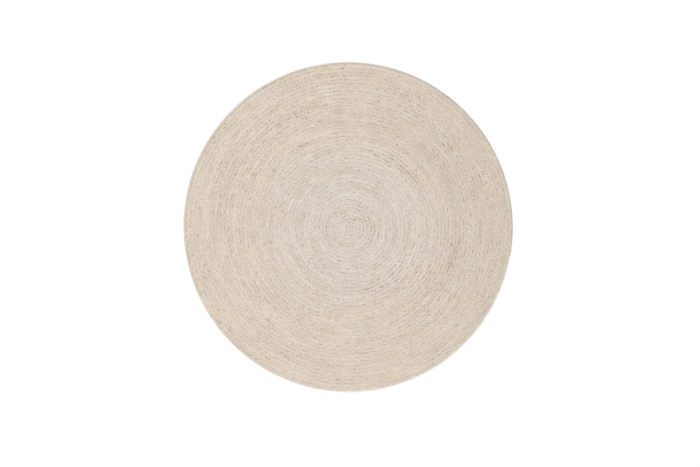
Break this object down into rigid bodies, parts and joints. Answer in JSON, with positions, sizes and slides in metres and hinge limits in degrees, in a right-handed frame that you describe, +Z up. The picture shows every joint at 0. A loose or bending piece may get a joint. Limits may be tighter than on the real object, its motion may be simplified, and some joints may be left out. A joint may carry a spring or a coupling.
{
  "type": "round braided area rug",
  "caption": "Round flat floor rug: one three-strand jute plait wound into a spiral and laced edge to edge with thread.",
  "frame": {"origin": "centre of the disc on its underside, where it lies on the floor", "axes": "+Z up through the thickness; +X and +Y across the disc, +Y away from a viewer at the near edge"},
  "size_m": [1.5, 1.5, 0.009],
  "materials": {
    "jute_braid": "matte",
    "lacing_thread": "matte"
  },
  "bodies": {
    "root": {"centre_curl": "jute_braid", "braid_turn_01": "jute_braid", "braid_turn_02": "jute_braid", "braid_turn_03": "jute_braid", "braid_turn_04": "jute_braid", "braid_turn_05": "jute_braid", "braid_turn_06": "jute_braid", "braid_turn_07": "jute_braid", "braid_turn_08": "jute_braid", "braid_turn_09": "jute_braid", "braid_turn_10": "jute_braid", "braid_turn_11": "jute_braid", "braid_turn_12": "jute_braid", "braid_turn_13": "jute_braid", "braid_turn_14": "jute_braid", "braid_turn_15": "jute_braid", "braid_turn_16": "jute_braid", "braid_turn_17": "jute_braid", "braid_turn_18": "jute_braid", "braid_turn_19": "jute_braid", "braid_turn_20": "jute_braid", "braid_turn_21": "jute_braid", "braid_turn_22": "jute_braid", "braid_turn_23": "jute_braid", "braid_turn_24": "jute_braid", "braid_turn_25": "jute_braid", "braid_turn_26": "jute_braid", "braid_turn_27": "jute_braid", "braid_turn_28": "jute_braid", "braid_turn_29": "jute_braid", "braid_turn_30": "jute_braid", "braid_turn_31": "jute_braid", "braid_turn_32": "jute_braid", "braid_turn_33": "jute_braid", "braid_turn_34": "jute_braid", "braid_turn_35": "jute_braid", "braid_turn_36": "jute_braid", "braid_turn_37": "jute_braid", "braid_turn_38": "jute_braid", "braid_turn_39": "jute_braid", "braid_turn_40": "jute_braid", "braid_turn_41": "jute_braid", "braid_turn_42": "jute_braid", "braid_turn_43": "jute_braid", "braid_tail": "jute_braid", "lacing_thread": "lacing_thread"}
  },
  "joints": []
}
